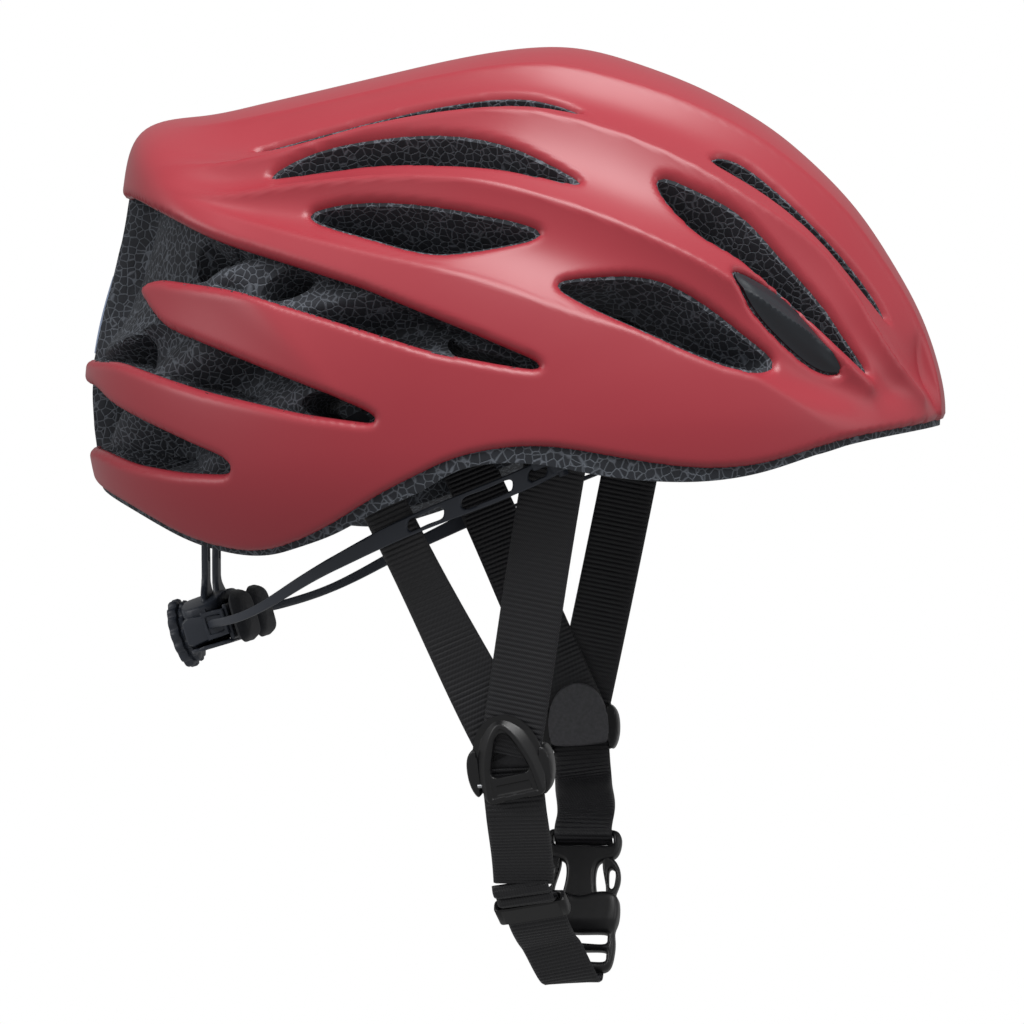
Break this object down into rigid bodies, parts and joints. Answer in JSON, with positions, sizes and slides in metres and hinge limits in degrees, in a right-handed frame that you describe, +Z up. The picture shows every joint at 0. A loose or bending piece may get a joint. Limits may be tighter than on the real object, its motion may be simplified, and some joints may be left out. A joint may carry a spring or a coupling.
{
  "type": "cycling helmet",
  "caption": "Road cycling helmet: vented red shell over moulded foam, rear scoops, dial-adjusted cradle with flexible arms, webbing chin straps with dividers and a side-release buckle",
  "frame": {"origin": "centre of the head opening at brim level", "axes": "+X forward, +Y to the wearer's left, +Z up"},
  "size_m": [0.2889, 0.2048, 0.3177],
  "materials": {
    "shell_red": "matt clear-coated polycarbonate",
    "foam": "moulded EPS bead foam",
    "trim": "satin moulded plate",
    "reflector": "reflective film",
    "pad": "brushed knit over foam",
    "nylon": "moulded nylon",
    "acetal": "moulded acetal",
    "webbing": "ribbed polyester webbing",
    "steel": "plated steel"
  },
  "bodies": {
    "helmet": {"outer_shell": "shell_red", "foam_liner": "foam", "trim_plate_right": "trim", "trim_plate_left": "trim", "rear_reflector": "reflector", "brow_pad": "pad", "crown_pad": "pad", "side_pad_right": "pad", "side_pad_left": "pad", "hook_dots": "webbing", "strap_anchors": "nylon", "height_rail": "nylon", "temple_anchor_right": "nylon", "temple_anchor_left": "nylon", "front_strap_right": "webbing", "front_strap_left": "webbing", "rear_strap_right": "webbing", "rear_strap_left": "webbing", "chin_strap_right": "webbing", "chin_strap_left": "webbing", "buckle_male": "acetal"},
    "cradle": {"yoke_strut": "nylon", "dial_housing": "nylon", "housing_cover": "nylon", "housing_screws": "steel", "detent_spring": "steel", "occipital_pad_right": "pad", "occipital_pad_left": "pad"},
    "dial": {"dial_knob": "nylon", "dial_pinion": "nylon", "dial_screw": "steel"},
    "arm_pivot_right": {"pivot_stud_right": "nylon"},
    "arm_pivot_left": {"pivot_stud_left": "nylon"},
    "arm_right": {"arm_right": "nylon"},
    "arm_left": {"arm_left": "nylon"},
    "divider_right": {"divider_base_right": "acetal", "divider_pin_right": "steel"},
    "divider_left": {"divider_base_left": "acetal", "divider_pin_left": "steel"},
    "lever_right": {"divider_lever_right": "acetal"},
    "lever_left": {"divider_lever_left": "acetal"},
    "prong_front": {"buckle_prong_front": "acetal"},
    "prong_rear": {"buckle_prong_rear": "acetal"},
    "buckle_half": {"buckle_female": "acetal", "chin_strap_tail": "webbing"},
    "keeper": {"strap_keeper": "acetal"}
  },
  "joints": [
    {"name": "cradle_height", "type": "slide", "parent": "helmet", "child": "cradle", "axis": [0.4051, 0, -0.9143], "range_m": [-0.004, 0.01]},
    {"name": "dial_turn", "type": "hinge", "parent": "cradle", "child": "dial", "pos_m": [-0.10169, 0, -0.05301], "axis": [-0.957, 0, -0.29], "range_deg": [-45, 45]},
    {"name": "arm_lift_right", "type": "hinge", "parent": "helmet", "child": "arm_pivot_right", "pos_m": [0.02922, -0.09222, 0.01089], "axis": [0, -1, 0], "range_deg": [-1.75, 4.35]},
    {"name": "arm_swing_right", "type": "hinge", "parent": "arm_pivot_right", "child": "arm_right", "pos_m": [0.03153, -0.08272, 0.00568], "axis": [-0.4051, 0, 0.9143], "range_deg": [-1.4, 1.4]},
    {"name": "divider_slide_right", "type": "slide", "parent": "helmet", "child": "divider_right", "axis": [-0.0888, -0.1333, 0.9871], "range_m": [-0.008, 0.003]},
    {"name": "lever_open_right", "type": "hinge", "parent": "divider_right", "child": "lever_right", "pos_m": [0.01284, -0.06597, -0.09983], "axis": [0.9956, -0.0399, 0.0842], "range_deg": [0, 70]},
    {"name": "arm_lift_left", "type": "hinge", "parent": "helmet", "child": "arm_pivot_left", "pos_m": [0.02922, 0.09222, 0.01089], "axis": [0, -1, 0], "range_deg": [-1.75, 4.35]},
    {"name": "arm_swing_left", "type": "hinge", "parent": "arm_pivot_left", "child": "arm_left", "pos_m": [0.03153, 0.08272, 0.00568], "axis": [-0.4051, 0, 0.9143], "range_deg": [-1.4, 1.4]},
    {"name": "divider_slide_left", "type": "slide", "parent": "helmet", "child": "divider_left", "axis": [-0.0888, 0.1333, 0.9871], "range_m": [-0.008, 0.003]},
    {"name": "lever_open_left", "type": "hinge", "parent": "divider_left", "child": "lever_left", "pos_m": [0.01284, 0.06597, -0.09983], "axis": [-0.9956, -0.0399, -0.0842], "range_deg": [0, 70]},
    {"name": "prong_squeeze_front", "type": "hinge", "parent": "helmet", "child": "prong_front", "pos_m": [0.0312, 0.01978, -0.13383], "axis": [0, 0.9074, -0.4202], "range_deg": [0, 5], "stiffness_Nm_per_rad": 0.05},
    {"name": "prong_squeeze_rear", "type": "hinge", "parent": "helmet", "child": "prong_rear", "pos_m": [0.0108, 0.01978, -0.13383], "axis": [0, -0.9074, 0.4202], "range_deg": [0, 5], "stiffness_Nm_per_rad": 0.05},
    {"name": "buckle_release", "type": "slide", "parent": "helmet", "child": "buckle_half", "axis": [0, -0.4202, -0.9074], "range_m": [0, 0.025]},
    {"name": "keeper_slide", "type": "slide", "parent": "buckle_half", "child": "keeper", "axis": [0.1425, 0.6651, -0.733], "range_m": [-0.003, 0.01]}
  ],
  "couplings": [
    {"joint": "arm_lift_right", "follows": "cradle_height", "rad_per_m": 6.9933},
    {"joint": "arm_lift_left", "follows": "cradle_height", "rad_per_m": 6.9933},
    {"joint": "arm_swing_right", "follows": "dial_turn", "ratio": -0.027973},
    {"joint": "arm_swing_left", "follows": "dial_turn", "ratio": 0.027973},
    {"joint": "prong_squeeze_rear", "follows": "prong_squeeze_front", "ratio": 1}
  ]
}
